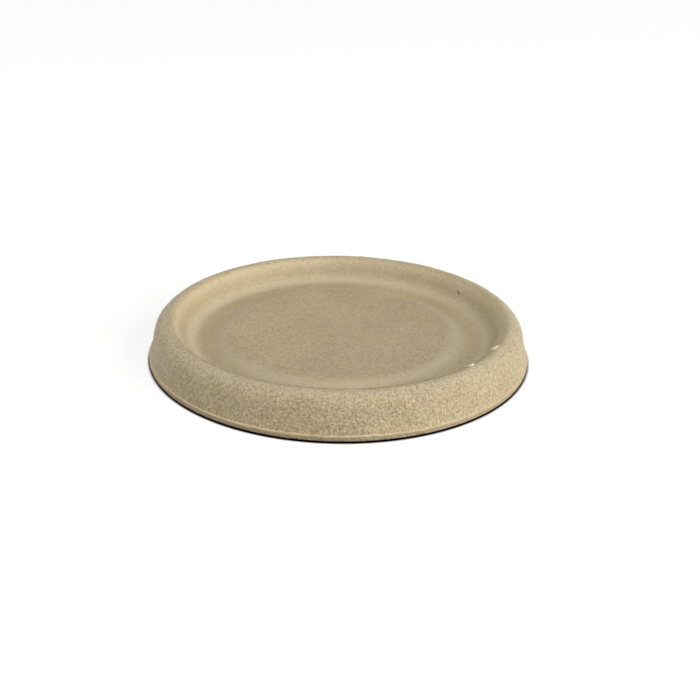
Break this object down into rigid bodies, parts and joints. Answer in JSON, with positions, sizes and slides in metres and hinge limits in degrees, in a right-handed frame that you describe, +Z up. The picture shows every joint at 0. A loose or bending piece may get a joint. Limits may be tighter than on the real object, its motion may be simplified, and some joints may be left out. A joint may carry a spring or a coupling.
{
  "type": "sauce cup lid",
  "caption": "Round press-on lid of unbleached moulded paper pulp for a small sauce cup, with a flared skirt, a rounded crown and a sunken plug with a raised flat panel.",
  "frame": {"origin": "centre of the foot, on the plane the lid rests on", "axes": "+Z up along the lid's axis of revolution, out of the panel's upper face; X and Y lie in the foot plane and are alike"},
  "size_m": [0.066, 0.066, 0.007],
  "materials": {
    "moulded_pulp": "matt unbleached moulded plant fibre, tan, with a fine fibre grain and a few dark specks"
  },
  "bodies": {
    "root": {"lid_shell": "moulded_pulp"}
  },
  "joints": []
}
